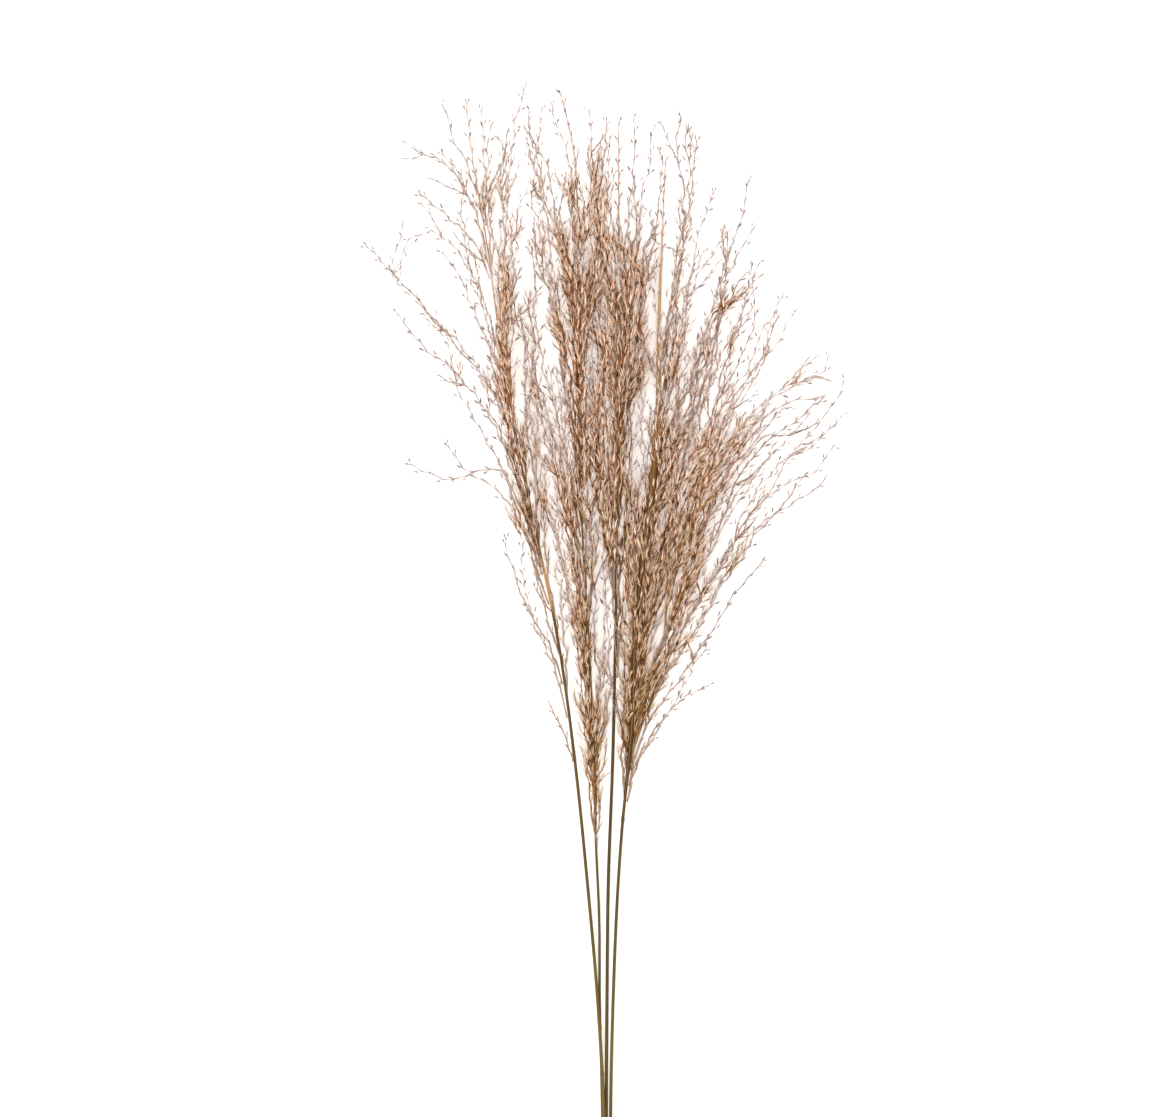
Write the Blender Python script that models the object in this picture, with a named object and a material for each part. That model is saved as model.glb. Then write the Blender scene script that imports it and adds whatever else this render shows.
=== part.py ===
"""A bundle of dried silver grass, lying on a flat surface.

Four cut stalks lie side by side, gathered at their cut ends and fanning out at their heads. A stalk is a round
culm that runs on into the axis of its head, and the head is a spray of slender racemes set with pairs of
pointed spikelets. The right-hand stalk still has its dry flag leaf.

Units are metres and +Z is up. The cut ends point to -Y and the tips to +Y. Routes are written as
(distance from the cut ends, sideways place, height above the surface). The finished bundle is moved so that
the origin is the middle of the underside of its bounding box.
"""

import math
import random

import bmesh
import bpy
import numpy as np
from mathutils.kdtree import KDTree

SEED = 11
SEAT_GAP = 0.0003  # between a raceme or a leaf and the axis that carries it

# Culms
CULM_SIDES = 8
CULM_RING_SPACING = 0.022
NECK_SHARE = 0.90  # radius where the head starts, as a share of the radius at the cut end
TIP_RADIUS = 0.00030
NODE_SWELLING = 0.22  # how far a joint of the culm stands out, as a share of its radius
NODE_HALF_LENGTH = 0.0022

# Racemes
RACEME_BASE_RADIUS = 0.00062
RACEME_TIP_RADIUS = 0.00034
INTERNODE = 0.0105
SPIKELET_SEAT = 0.0026  # length of axis that one pair of spikelets grows from
SPIKELET_LENGTH = 0.0060
SPIKELET_REACH = 0.0027  # how far a spikelet's tip stands off the axis
SPIKELET_REST = 0.0001  # lowest height of a spikelet's tip above the surface
BARE_BASE = 0.020  # no spikelets this near a raceme's base
GROWN_BASE = 0.070  # spikelets are full size from here on
RACEME_ARCH = 0.03  # height of a raceme's bow, as a share of its length
SIDEWAYS_SEAT = 0.5  # below 1, racemes grow more from the sides of the axis than from its top and bottom
LEAD = 0.012  # this far beyond its seat a raceme still runs close along the axis
LEAD_SHARE = 0.75  # how much of its way there is the axis's own
SEAT_FADE = 0.05  # length over which a raceme's start beside the axis, not in it, stops mattering

# Racemes that fill a head
FILLED_SHARE = 0.75  # they grow along this much of the head
FILL_MIDDLE = 0.6  # how far out of the head they are halfway, as a share of their spread
FILL_RISE = 1.5  # their spread upwards, as a share of that sideways
END_MARGIN = 0.012  # distance that they keep from the end of the head's axis

# Spacing of racemes in a head
AXIS_SPACING = 0.004
ROUTE_SPACING = 0.005
SETTLING_ROUNDS = 160
SETTLING_EASE = (0.35, 0.20, 1.0)  # racemes give way upwards and downwards more than sideways
AIR = 0.0005  # clearance kept between neighbours
UPRIGHT_START = 0.0004  # parts neighbours at the same height, so that one passes over the other
HELD_BASE = 0.035  # this much of a raceme is held more and more firmly towards its seat

GOLDEN_ANGLE = math.pi * (3 - math.sqrt(5))
LYING = -0.008  # tip height, below the surface, of a raceme that comes down to it and lies along it

# Each stalk: its culm's route and radius, the joints on its culm, where its head starts, its racemes one by
# one, and how many more are spread evenly round the head. A raceme is (where it grows on the axis, height of
# its tip, points that it passes, the last one being its tip).
STALKS = {
    "left": {
        "radius": 0.00126,
        "joints": (0.118,),
        "route": (
            (0.004, 0.0126, 0.0041),
            (0.085, 0.0094, 0.0042),
            (0.173, 0.0044, 0.0043),
            (0.260, -0.0032, 0.0048),
            (0.353, -0.0127, 0.0070),
            (0.443, -0.0252, 0.0120),
            (0.518, -0.0405, 0.0160),
            (0.593, -0.0563, 0.0185),
            (0.668, -0.0686, 0.0185),
            (0.743, -0.0788, 0.0160),
            (0.803, -0.0892, 0.0125),
            (0.844, -0.0938, 0.0090),
        ),
        "head": (0.350, 0.800),
        "racemes": (
            (0.352, LYING, ((0.394, -0.030),)),
            (0.385, 0.030, ((0.461, -0.043), (0.540, -0.058))),
            (0.410, LYING, ((0.454, -0.039), (0.488, -0.058), (0.518, -0.067))),
            (0.470, LYING, ((0.572, -0.077), (0.564, -0.096), (0.561, -0.114), (0.575, -0.135))),
            (0.492, 0.014, ((0.560, -0.074), (0.576, -0.100), (0.587, -0.108))),
            (0.505, 0.040, ((0.578, -0.069), (0.626, -0.099), (0.672, -0.110))),
            (0.550, LYING, ((0.623, -0.071), (0.675, -0.110), (0.702, -0.136), (0.736, -0.170))),
            (0.584, 0.030, ((0.640, -0.080), (0.685, -0.121), (0.713, -0.144), (0.750, -0.142))),
            (0.600, 0.050, ((0.668, -0.065), (0.735, -0.064), (0.803, -0.061), (0.848, -0.049))),
            (0.625, LYING, ((0.683, -0.086), (0.735, -0.109))),
            (0.650, 0.022, ((0.720, -0.092), (0.749, -0.120), (0.743, -0.135), (0.720, -0.144))),
            (0.712, 0.006, ((0.758, -0.103), (0.777, -0.127))),
            (0.722, 0.030, ((0.787, -0.078), (0.836, -0.080))),
            (0.738, 0.018, ((0.790, -0.103), (0.814, -0.140))),
            (0.752, LYING, ((0.792, -0.071), (0.822, -0.065))),
            (0.775, 0.026, ((0.815, -0.103), (0.840, -0.113))),
        ),
        "fill": 1,
        "fill_length": (0.150, 0.120),
        "fill_spread": 0.020,
    },
    "centre_left": {
        "radius": 0.00104,
        "joints": (0.152,),
        "route": (
            (0.000, 0.0083, 0.0011),
            (0.085, 0.0079, 0.0011),
            (0.173, 0.0059, 0.0012),
            (0.233, 0.0056, 0.0020),
            (0.293, 0.0030, 0.0040),
            (0.353, 0.0020, 0.0080),
            (0.413, -0.0008, 0.0125),
            (0.503, -0.0060, 0.0185),
            (0.593, -0.0097, 0.0225),
            (0.683, -0.0112, 0.0230),
            (0.743, -0.0112, 0.0210),
            (0.803, -0.0125, 0.0180),
            (0.850, -0.0230, 0.0140),
        ),
        "head": (0.300, 0.790),
        "racemes": (
            (0.345, LYING, ((0.440, -0.010), (0.548, -0.035))),
            (0.400, 0.030, ((0.520, -0.026), (0.623, -0.046))),
            (0.445, LYING, ((0.580, -0.030), (0.698, -0.050))),
            (0.520, 0.024, ((0.640, -0.034), (0.735, -0.046))),
            (0.590, 0.046, ((0.720, -0.030), (0.833, -0.044))),
            (0.690, LYING, ((0.760, -0.030), (0.803, -0.048))),
            (0.640, 0.050, ((0.740, -0.004), (0.833, -0.002))),
            (0.610, LYING, ((0.720, 0.004), (0.815, 0.007))),
        ),
        "fill": 4,
        "fill_length": (0.230, 0.150),
        "fill_spread": 0.020,
    },
    "centre": {
        "radius": 0.00128,
        "joints": (),
        "route": (
            (0.002, 0.0111, 0.0013),
            (0.085, 0.0109, 0.0013),
            (0.173, 0.0114, 0.0014),
            (0.263, 0.0124, 0.0025),
            (0.353, 0.0157, 0.0060),
            (0.443, 0.0176, 0.0110),
            (0.533, 0.0191, 0.0170),
            (0.623, 0.0217, 0.0225),
            (0.668, 0.0235, 0.0235),
            (0.740, 0.0205, 0.0215),
            (0.829, 0.0200, 0.0150),
        ),
        "head": (0.385, 0.780),
        "racemes": (
            (0.430, LYING, ((0.540, 0.024), (0.640, 0.034))),
            (0.480, LYING, ((0.600, 0.008), (0.700, 0.003))),
            (0.560, 0.050, ((0.700, 0.014), (0.825, 0.009))),
            (0.600, LYING, ((0.730, 0.030), (0.833, 0.034))),
            (0.630, 0.030, ((0.730, 0.034), (0.826, 0.044))),
        ),
        "fill": 5,
        "fill_length": (0.210, 0.140),
        "fill_spread": 0.018,
    },
    "right": {
        "radius": 0.00122,
        "joints": (0.308,),
        "route": (
            (0.006, 0.0141, 0.0013),
            (0.085, 0.0141, 0.0013),
            (0.173, 0.0160, 0.0014),
            (0.263, 0.0199, 0.0025),
            (0.308, 0.0232, 0.0038),
            (0.353, 0.0281, 0.0060),
            (0.383, 0.0312, 0.0080),
            (0.443, 0.0337, 0.0120),
            (0.503, 0.0397, 0.0160),
            (0.570, 0.0480, 0.0190),
            (0.623, 0.0510, 0.0200),
            (0.683, 0.0510, 0.0190),
            (0.743, 0.0525, 0.0165),
            (0.800, 0.0550, 0.0130),
        ),
        "head": (0.322, 0.760),
        "racemes": (
            (0.322, LYING, ((0.366, 0.042), (0.400, 0.066), (0.410, 0.087))),
            (0.334, 0.026, ((0.372, 0.045), (0.415, 0.072), (0.434, 0.086))),
            (0.346, LYING, ((0.405, 0.058), (0.460, 0.098), (0.503, 0.124))),
            (0.358, 0.020, ((0.430, 0.058), (0.500, 0.096), (0.544, 0.124), (0.560, 0.154))),
            (0.366, 0.036, ((0.430, 0.053), (0.510, 0.089), (0.572, 0.124), (0.607, 0.162))),
            (0.372, LYING, ((0.440, 0.057), (0.530, 0.096), (0.592, 0.130), (0.620, 0.172))),
            (0.382, 0.034, ((0.437, 0.050), (0.498, 0.069), (0.575, 0.092), (0.620, 0.128), (0.638, 0.171))),
            (0.396, 0.046, ((0.480, 0.058), (0.580, 0.091), (0.640, 0.120), (0.683, 0.150))),
            (0.408, LYING, ((0.500, 0.062), (0.600, 0.097), (0.650, 0.122), (0.683, 0.139))),
            (0.424, 0.028, ((0.520, 0.060), (0.620, 0.096), (0.720, 0.117))),
            (0.450, LYING, ((0.560, 0.064), (0.670, 0.092), (0.788, 0.116))),
            (0.540, 0.030, ((0.650, 0.062), (0.730, 0.078), (0.776, 0.087))),
            (0.580, LYING, ((0.690, 0.063), (0.780, 0.068), (0.835, 0.065))),
            (0.650, 0.034, ((0.705, 0.062), (0.735, 0.060), (0.738, 0.049))),
            (0.640, 0.006, ((0.760, 0.070), (0.816, 0.077))),
        ),
        "fill": 1,
        "fill_length": (0.200, 0.150),
        "fill_spread": 0.016,
    },
}

# The flag leaf of the right-hand stalk grows from the joint below its head and lies over the head's axis.
LEAF_NAME = "flag_leaf_right"
LEAF_SPAN = (0.310, 0.762)
LEAF_WIDTH = 0.0036
LEAF_THICKNESS = 0.00045
LEAF_KEEL = 0.0007  # depth of the fold along the middle
LEAF_LIFT = 0.0036  # clearance from the head's axis, widest in the middle
LEAF_ASIDE = -0.0022  # how far the middle of the blade lies beside the axis
LEAF_RING_SPACING = 0.012

# Base colour and roughness of each kind of piece
OLIVE_STRAW = (0.180, 0.120, 0.040), 0.50
GOLDEN_STRAW = (0.440, 0.270, 0.090), 0.55
DRY_ROSE = (0.420, 0.240, 0.165), 0.75


def running_length(points):
    steps = np.linalg.norm(np.diff(points, axis=0), axis=1)
    return np.concatenate([[0.0], np.cumsum(steps)])


def points_along(route, distances):
    """Points at these distances along a route, in straight steps between its own points."""
    length = running_length(route)
    return np.column_stack([np.interp(distances, length, route[:, axis]) for axis in range(3)])


def smooth_route(knots, spacing):
    """A smooth curve through the knots, as evenly spaced points."""
    knots = np.array(knots, dtype=float)
    at = running_length(knots)
    slopes = np.gradient(knots, at, axis=0)
    fine = np.linspace(0.0, at[-1], 40 * len(knots))
    start = np.clip(np.searchsorted(at, fine, side="right") - 1, 0, len(knots) - 2)
    span = (at[start + 1] - at[start])[:, None]
    share = (fine - at[start])[:, None] / span
    curve = (
        knots[start] * (2 * share**3 - 3 * share**2 + 1)
        + knots[start + 1] * (3 * share**2 - 2 * share**3)
        + slopes[start] * span * (share**3 - 2 * share**2 + share)
        + slopes[start + 1] * span * (share**3 - share**2)
    )
    total = running_length(curve)[-1]
    return points_along(curve, np.linspace(0.0, total, max(round(total / spacing), 4) + 1))


def to_world(points):
    """Turns (distance from the cut ends, sideways place, height) into X, Y, Z."""
    points = np.asarray(points, dtype=float)
    return points[:, [1, 0, 2]]


def culm_radius(stalk, distance):
    """Radius of a stalk's culm and head axis at a distance from the cut ends, without its joints."""
    start, end = stalk["route"][0][0], stalk["route"][-1][0]
    neck = stalk["head"][0]
    full = stalk["radius"]
    return np.interp(distance, (start, neck, end), (full, NECK_SHARE * full, TIP_RADIUS))


def axis_point(stalk, distance):
    route = stalk["axis"]
    return np.array([np.interp(distance, route[:, 1], route[:, axis]) for axis in range(3)])


def unit(vector):
    return vector / np.linalg.norm(vector)


def raceme_route(stalk, station, tip_height, plan):
    """A raceme's axis, from its seat on the head's axis to its tip.

    In plan it leaves along the axis and passes the given points. Its height eases from the axis to the tip,
    bowed a little upwards.
    """
    seat = axis_point(stalk, station)
    lead = axis_point(stalk, station + LEAD)
    knots = np.array([seat[[1, 0]], LEAD_SHARE * lead[[1, 0]] + (1 - LEAD_SHARE) * np.array(plan[0]), *plan])
    flat = smooth_route(np.column_stack([knots, np.zeros(len(knots))]), ROUTE_SPACING)
    share = running_length(flat) / running_length(flat)[-1]
    ease = share * share * (3 - 2 * share)
    bow = 4 * share * (1 - share) * RACEME_ARCH * running_length(flat)[-1]
    flat[:, 2] = seat[2] + (tip_height - seat[2]) * ease + bow
    route = to_world(flat)
    return seat_on_axis(stalk, station, route)


def seat_on_axis(stalk, station, route):
    """Moves the start of a raceme from the middle of the head's axis to the side that it leaves from."""
    seat = axis_point(stalk, station)
    forward = unit(axis_point(stalk, station + 0.01) - seat)
    leaving = points_along(route, [SEAT_FADE * 0.8])[0]
    away = leaving - axis_point(stalk, leaving[1])
    away[2] *= SIDEWAYS_SEAT
    away = unit(away - forward * away.dot(forward))
    reach = culm_radius(stalk, station) + SEAT_GAP + RACEME_BASE_RADIUS
    fade = np.exp(-running_length(route) / SEAT_FADE)[:, None]
    return route + away * reach * fade


def fill_racemes(stalk):
    """Racemes spread evenly along the head and round it, by the golden angle."""
    first, last = stalk["head"]
    longest, shortest = stalk["fill_length"]
    for index in range(stalk["fill"]):
        share = (index + 0.5) / stalk["fill"]
        station = first + share * (last - first) * FILLED_SHARE
        end = min(station + longest + share * (shortest - longest), stalk["route"][-1][0] - END_MARGIN)
        turn = GOLDEN_ANGLE * index
        middle = axis_point(stalk, 0.5 * (station + end))
        tip = axis_point(stalk, end)
        aside = stalk["fill_spread"] * math.cos(turn)
        height = tip[2] + FILL_RISE * stalk["fill_spread"] * math.sin(turn)
        halfway = 0.5 * (station + end), middle[0] + FILL_MIDDLE * aside
        yield station, height, (halfway, (end, tip[0] + aside))


def raceme_radius(distance, length):
    return np.interp(distance, (0.0, length), (RACEME_BASE_RADIUS, RACEME_TIP_RADIUS))


def spikelet_growth(distance):
    """Size of the spikelets at a distance from the raceme's base: 0 is none and 1 is full size."""
    return np.clip((distance - BARE_BASE) / (GROWN_BASE - BARE_BASE), 0.0, 1.0)


def clearance_radius(route):
    """Radius of the space that a raceme's axis and spikelets take up, at each point of its route."""
    length = running_length(route)
    return raceme_radius(length, length[-1]) + SPIKELET_REACH * spikelet_growth(length)


def settle(routes, obstacles):
    """Racemes that touch push each other apart until their spikelets clear, and none sinks into the surface.

    The pushes are spread along each raceme, so that it stays a smooth curve, and fade out at its seat.
    """
    names = list(routes)
    owner = np.concatenate([[index] * len(routes[name]) for index, name in enumerate(names)])
    space = np.concatenate([clearance_radius(routes[name]) for name in names])
    freedom = np.concatenate([np.clip(running_length(routes[name]) / HELD_BASE, 0, 1) for name in names])
    fixed = np.concatenate([points for points, _ in obstacles])
    fixed_space = np.concatenate([radii for _, radii in obstacles])
    reach = 2 * space.max() + fixed_space.max()
    places = np.concatenate([routes[name] for name in names])
    lowest = np.concatenate([height_on_surface(routes[name]) for name in names])
    for _ in range(SETTLING_ROUNDS):
        everything = np.concatenate([places, fixed])
        everything_space = np.concatenate([space, fixed_space])
        tree = KDTree(len(everything))
        for index, point in enumerate(everything):
            tree.insert(point, index)
        tree.balance()
        push = np.zeros_like(places)
        for index, point in enumerate(places):
            for near, other, gap in tree.find_range(point, reach):
                wanted = space[index] + everything_space[other] + AIR
                mine = other < len(places) and owner[other] == owner[index]
                if mine or gap >= wanted or gap < 1e-9:
                    continue
                away = point - np.array(near)
                away[2] += math.copysign(UPRIGHT_START, away[2] or 1.0)
                push[index] += unit(away) * (wanted - gap) * 0.5
        push *= freedom[:, None] * np.array(SETTLING_EASE)
        for index in range(len(names)):
            part = owner == index
            places[part] += smoothed(push[part]) * freedom[part][:, None]
        places[:, 2] = np.maximum(places[:, 2], lowest)
    for index, name in enumerate(names):
        routes[name] = places[owner == index]


def smoothed(values):
    """The values, each averaged with its neighbours a few times over."""
    for _ in range(3):
        padded = np.concatenate([values[:1], values, values[-1:]])
        values = (padded[:-2] + 2 * padded[1:-1] + padded[2:]) / 4
    return values


def height_on_surface(route):
    """Height of a raceme's axis, at each point of its route, where it lies on the surface."""
    length = running_length(route)
    return 0.5 * raceme_radius(length, length[-1])


def frames(route):
    """For each point of a route, the directions forwards, to the right and upwards."""
    forward = np.gradient(route, axis=0)
    forward /= np.linalg.norm(forward, axis=1)[:, None]
    right = np.cross(forward, (0.0, 0.0, 1.0))
    right /= np.linalg.norm(right, axis=1)[:, None]
    return forward, right, np.cross(right, forward)


class Tube:
    """A closed mesh made of rings of points, from a flat end to a pointed one."""

    def __init__(self, rings, tip):
        self.sides = len(rings[0])
        self.last = len(rings) - 1
        self.points = [point for ring in rings for point in ring] + [tip]
        self.tip = len(self.points) - 1
        self.spurs = {}

    def corner(self, ring, side):
        return ring * self.sides + side % self.sides

    def add_spur(self, ring, side, peak):
        """Draws one side of the tube, between a ring and the next, out to a peak."""
        self.spurs[ring, side] = len(self.points)
        self.points.append(peak)

    def faces(self):
        sides = range(self.sides)
        yield tuple(self.corner(0, side) for side in sides)
        for ring in range(self.last):
            for side in sides:
                loop = (
                    self.corner(ring, side),
                    self.corner(ring + 1, side),
                    self.corner(ring + 1, side + 1),
                    self.corner(ring, side + 1),
                )
                if (ring, side) in self.spurs:
                    peak = self.spurs[ring, side]
                    for here, there in zip(loop, loop[1:] + loop[:1]):
                        yield here, there, peak
                else:
                    yield loop
        for side in sides:
            yield self.corner(self.last, side), self.tip, self.corner(self.last, side + 1)

    def to_object(self, name, material):
        mesh = bpy.data.meshes.new(name)
        mesh.from_pydata([tuple(point) for point in self.points], [], list(self.faces()))
        shape = bmesh.new()
        shape.from_mesh(mesh)
        bmesh.ops.triangulate(shape, faces=[face for face in shape.faces if len(face.verts) > 4])
        shape.to_mesh(mesh)
        shape.free()
        mesh.materials.append(material)
        made = bpy.data.objects.new(name, mesh)
        bpy.context.scene.collection.objects.link(made)
        return made


def straw(name, look):
    colour, roughness = look
    material = bpy.data.materials.new(name)
    material.use_nodes = True
    shader = material.node_tree.nodes["Principled BSDF"]
    shader.inputs["Base Color"].default_value = (*colour, 1.0)
    shader.inputs["Roughness"].default_value = roughness
    return material


def make_culm(name, stalk, material):
    """A stalk's culm and head axis in one: round, tapering, a little swollen at its joints."""
    start, end = stalk["route"][0][0], stalk["route"][-1][0]
    distances = set(np.linspace(start, end - 0.004, round((end - start) / CULM_RING_SPACING)))
    for joint in stalk["joints"]:
        distances |= {joint + step * NODE_HALF_LENGTH for step in (-2, -1, 0, 1, 2)}
    distances = np.array(sorted(distances))
    centres = np.array([axis_point(stalk, distance) for distance in distances])
    radii = culm_radius(stalk, distances)
    for joint in stalk["joints"]:
        radii = radii * (1 + NODE_SWELLING * np.exp(-(((distances - joint) / NODE_HALF_LENGTH) ** 2)))
    _, right, up = frames(centres)
    turns = [math.pi / 2 + 2 * math.pi * side / CULM_SIDES for side in range(CULM_SIDES)]
    rings = [
        [centre + radius * (math.cos(turn) * r + math.sin(turn) * u) for turn in turns]
        for centre, radius, r, u in zip(centres, radii, right, up)
    ]
    return Tube(rings, axis_point(stalk, end)).to_object(name, material)


def make_raceme(name, route, material, chance):
    """A raceme: a thin three-sided axis, with a pair of pointed spikelets at the end of each internode."""
    length = running_length(route)[-1]
    count = round((length - SPIKELET_SEAT) / INTERNODE)
    pitch = (length - SPIKELET_SEAT) / count
    starts = np.arange(1, count) * pitch
    distances = np.sort(np.concatenate([[0.0], starts, starts + SPIKELET_SEAT]))
    centres = points_along(route, distances)
    forward, right, up = frames(centres)
    turns = [math.radians(angle) for angle in (90, 210, 330)]
    rings = [
        [centre + radius * (math.cos(turn) * r + math.sin(turn) * u) for turn in turns]
        for centre, radius, r, u in zip(centres, raceme_radius(distances, length), right, up)
    ]
    tube = Tube(rings, route[-1])
    for index, start in enumerate(starts):
        growth = float(spikelet_growth(start))
        if growth == 0.0:
            continue
        ring = 1 + 2 * index
        for side, sideways in ((0, -1.0), (2, 1.0)):
            size = growth * chance.uniform(0.75, 1.0)
            out = right[ring] * sideways * math.cos(math.radians(20)) + up[ring] * math.sin(math.radians(20))
            peak = centres[ring] + size * (SPIKELET_LENGTH * forward[ring] + SPIKELET_REACH * out)
            peak[2] = max(peak[2], SPIKELET_REST)
            tube.add_spur(ring, side, peak)
    return tube.to_object(name, material)


def leaf_centres(stalk, distances):
    """The flag leaf's middle line, and the width and fold depth of its blade, at these distances."""
    share = (distances - LEAF_SPAN[0]) / (LEAF_SPAN[1] - LEAF_SPAN[0])
    widths = LEAF_WIDTH * np.interp(share, (0.0, 0.12, 0.35, 0.75, 1.0), (0.40, 0.70, 1.0, 0.75, 0.15))
    folds = LEAF_KEEL * widths / LEAF_WIDTH
    centres = np.array([axis_point(stalk, distance) for distance in distances])
    centres[:, 2] += culm_radius(stalk, distances) + SEAT_GAP + folds + LEAF_THICKNESS / 2
    centres[:, 2] += LEAF_LIFT * np.sin(math.pi * share)
    centres[:, 0] += LEAF_ASIDE * np.sin(math.pi * share)
    return centres, widths, folds


def make_leaf(stalk, material):
    """The flag leaf: a long thin blade, folded along its middle, that lies over the head's axis."""
    first, last = LEAF_SPAN
    distances = np.linspace(first, last, round((last - first) / LEAF_RING_SPACING))
    centres, widths, folds = leaf_centres(stalk, distances)
    _, right, up = frames(centres)
    rings = [
        [
            centre - (fold - LEAF_THICKNESS / 2) * u,
            centre - width / 2 * r,
            centre - (fold + LEAF_THICKNESS / 2) * u,
            centre + width / 2 * r,
        ]
        for centre, width, fold, r, u in zip(centres[:-1], widths, folds, right, up)
    ]
    return Tube(rings, centres[-1]).to_object(LEAF_NAME, material)


def leaf_obstacle(stalk):
    """Points along the flag leaf, with the room that racemes leave round it."""
    centres, widths, _ = leaf_centres(stalk, np.arange(*LEAF_SPAN, 0.003))
    return centres, widths / 2


def culm_obstacle(stalk):
    distances = np.arange(stalk["route"][0][0], stalk["route"][-1][0], 0.003)
    return np.array([axis_point(stalk, distance) for distance in distances]), culm_radius(stalk, distances)


def centre_on_origin(pieces):
    """Moves the bundle so that the origin is the middle of the underside of its bounding box."""
    corners = np.array([tuple(vertex.co) for piece in pieces for vertex in piece.data.vertices])
    low, high = corners.min(axis=0), corners.max(axis=0)
    for piece in pieces:
        piece.location = (-(low[0] + high[0]) / 2, -(low[1] + high[1]) / 2, -low[2])


def build():
    for leftover in list(bpy.data.objects):
        bpy.data.objects.remove(leftover)
    chance = random.Random(SEED)
    culm_straw = straw("olive_straw", OLIVE_STRAW)
    leaf_straw = straw("golden_straw", GOLDEN_STRAW)
    raceme_straw = straw("dry_rose", DRY_ROSE)

    routes = {}
    for name, stalk in STALKS.items():
        stalk["axis"] = to_world(smooth_route(stalk["route"], AXIS_SPACING))
        growths = sorted([*stalk["racemes"], *fill_racemes(stalk)])
        for number, (station, tip_height, plan) in enumerate(growths, 1):
            routes[f"raceme_{name}_{number:02d}"] = raceme_route(stalk, station, tip_height, plan)
    obstacles = [culm_obstacle(stalk) for stalk in STALKS.values()]
    settle(routes, [*obstacles, leaf_obstacle(STALKS["right"])])

    pieces = [make_culm(f"culm_{name}", stalk, culm_straw) for name, stalk in STALKS.items()]
    pieces.append(make_leaf(STALKS["right"], leaf_straw))
    pieces += [make_raceme(name, route, raceme_straw, chance) for name, route in routes.items()]
    centre_on_origin(pieces)


build()
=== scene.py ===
"""The looks of a bundle of dried silver grass that lies on a pale floor.

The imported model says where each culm, leaf and raceme lies. Here the culms become smooth jointed straws,
the flag leaf a folded and veined blade, and the racemes thin wavering stalks with a pair of spikelets at
each node. A spikelet has two glumes, a bent awn and two fine hairs, on a thin pedicel. The many more racemes
that a real head has grow between those of the model and close round the head's axis.

Lengths are in metres. Distances along the bundle are measured from its cut ends, towards +Y.
"""

import math

import bpy
import numpy as np
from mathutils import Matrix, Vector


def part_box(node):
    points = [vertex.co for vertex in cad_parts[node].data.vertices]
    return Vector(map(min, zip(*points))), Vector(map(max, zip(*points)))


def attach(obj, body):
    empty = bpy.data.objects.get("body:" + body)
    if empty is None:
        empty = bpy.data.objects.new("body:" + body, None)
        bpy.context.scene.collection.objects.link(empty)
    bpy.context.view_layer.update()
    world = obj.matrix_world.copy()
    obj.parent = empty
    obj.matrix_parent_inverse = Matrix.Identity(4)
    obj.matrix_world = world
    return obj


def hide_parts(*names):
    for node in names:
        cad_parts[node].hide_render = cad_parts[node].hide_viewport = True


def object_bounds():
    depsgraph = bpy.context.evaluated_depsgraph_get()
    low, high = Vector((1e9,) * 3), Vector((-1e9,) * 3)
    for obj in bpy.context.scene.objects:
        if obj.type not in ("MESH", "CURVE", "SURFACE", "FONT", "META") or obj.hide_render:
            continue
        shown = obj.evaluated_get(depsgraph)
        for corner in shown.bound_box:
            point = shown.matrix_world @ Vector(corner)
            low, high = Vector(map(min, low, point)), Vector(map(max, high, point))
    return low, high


GOLDEN_SHARE = (math.sqrt(5) - 1) / 2

# How many sides the rings of the model's solids have
CULM_NODE_SIDES = 8
RACEME_NODE_SIDES = 3
LEAF_NODE_SIDES = 4

# Culms: their rings and how many directions are worked out along them, how much they narrow up to the head,
# their joints, their golden stretches, their cut ends and how far up their foot's dark tone goes
CULM_SIDES = 16
CULM_RING = 0.004
CULM_DIRECTIONS = 400
NECK_SHARE = 0.92
AXIS_TIP_RADIUS = 0.00036
JOINT_HALF_LENGTH = 0.0016
JOINT_SWELLING = 0.24
JOINT_RINGS = (-2, -1.3, -0.7, -0.3, 0, 0.3, 0.7, 1.3, 2)
JOINT_TINT_SHARE = 0.6
JOINT_TINT = 0.8
GOLDEN_TINT = 0.85
GOLDEN_FADE = 0.008
PITH_SHARE = 0.62
PITH_TINT = 0.9
DEEP_FADE = (0.5, 0.75)

# The flag leaf
LEAF_WIDTH = 0.0040
LEAF_RING = 0.003
LEAF_THICKNESS = 0.00016
LEAF_FOLD = 0.0008
LEAF_KEEL = 0.00012
LEAF_RIB_WIDTH = 0.09
LEAF_RIB_TINT = 0.7
LEAF_WAVE = 0.0003
LEAF_WAVE_LENGTH = 0.041

# Racemes: the stalk's radii, the knots at its nodes and the internodes between them
RACEME_STEP = 0.003
FEWEST_STEPS = 8
AXIS_SIDES = 4
AXIS_BASE_RADIUS = 0.00060
AXIS_SPRAY_RADIUS = 0.00045
AXIS_END_RADIUS = 0.00030
AXIS_END = 0.0016
PULVINUS_RADIUS = 0.00060
NODE_GROWTH = 0.00028
KNOT_TINT = 0.8
BARE_SHARE = 0.11
LAST_NODE = 0.004
FIRST_INTERNODE = 0.0084
LAST_INTERNODE = 0.0096
ZIGZAG = 0.00055
ROLL = 0.35

# How a raceme's route bends: slow waves and small ripples, by their sizes and the ranges of their lengths
WANDER = 0.0034
SLOW_WAVES = (0.10, 0.16)
QUICK_WAVES = (0.04, 0.06)
QUICK_WAVE_SHARE = 0.45
UPWARD_SHARE = 0.3
CURL = 0.009
CURLING_LENGTH = 0.12
RIPPLE = 0.0011
RIPPLES = (0.020, 0.030)
RIPPLE_START = 0.03

# Golden stalks: how far from a raceme's base and how much, and the two values of Y between which it fades
GOLDEN_BASE = 0.10
GOLDEN_RACEME = 0.8
GOLDEN_PLACES = (0.09, 0.19)
LEAST_GOLDEN = 0.25

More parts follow.
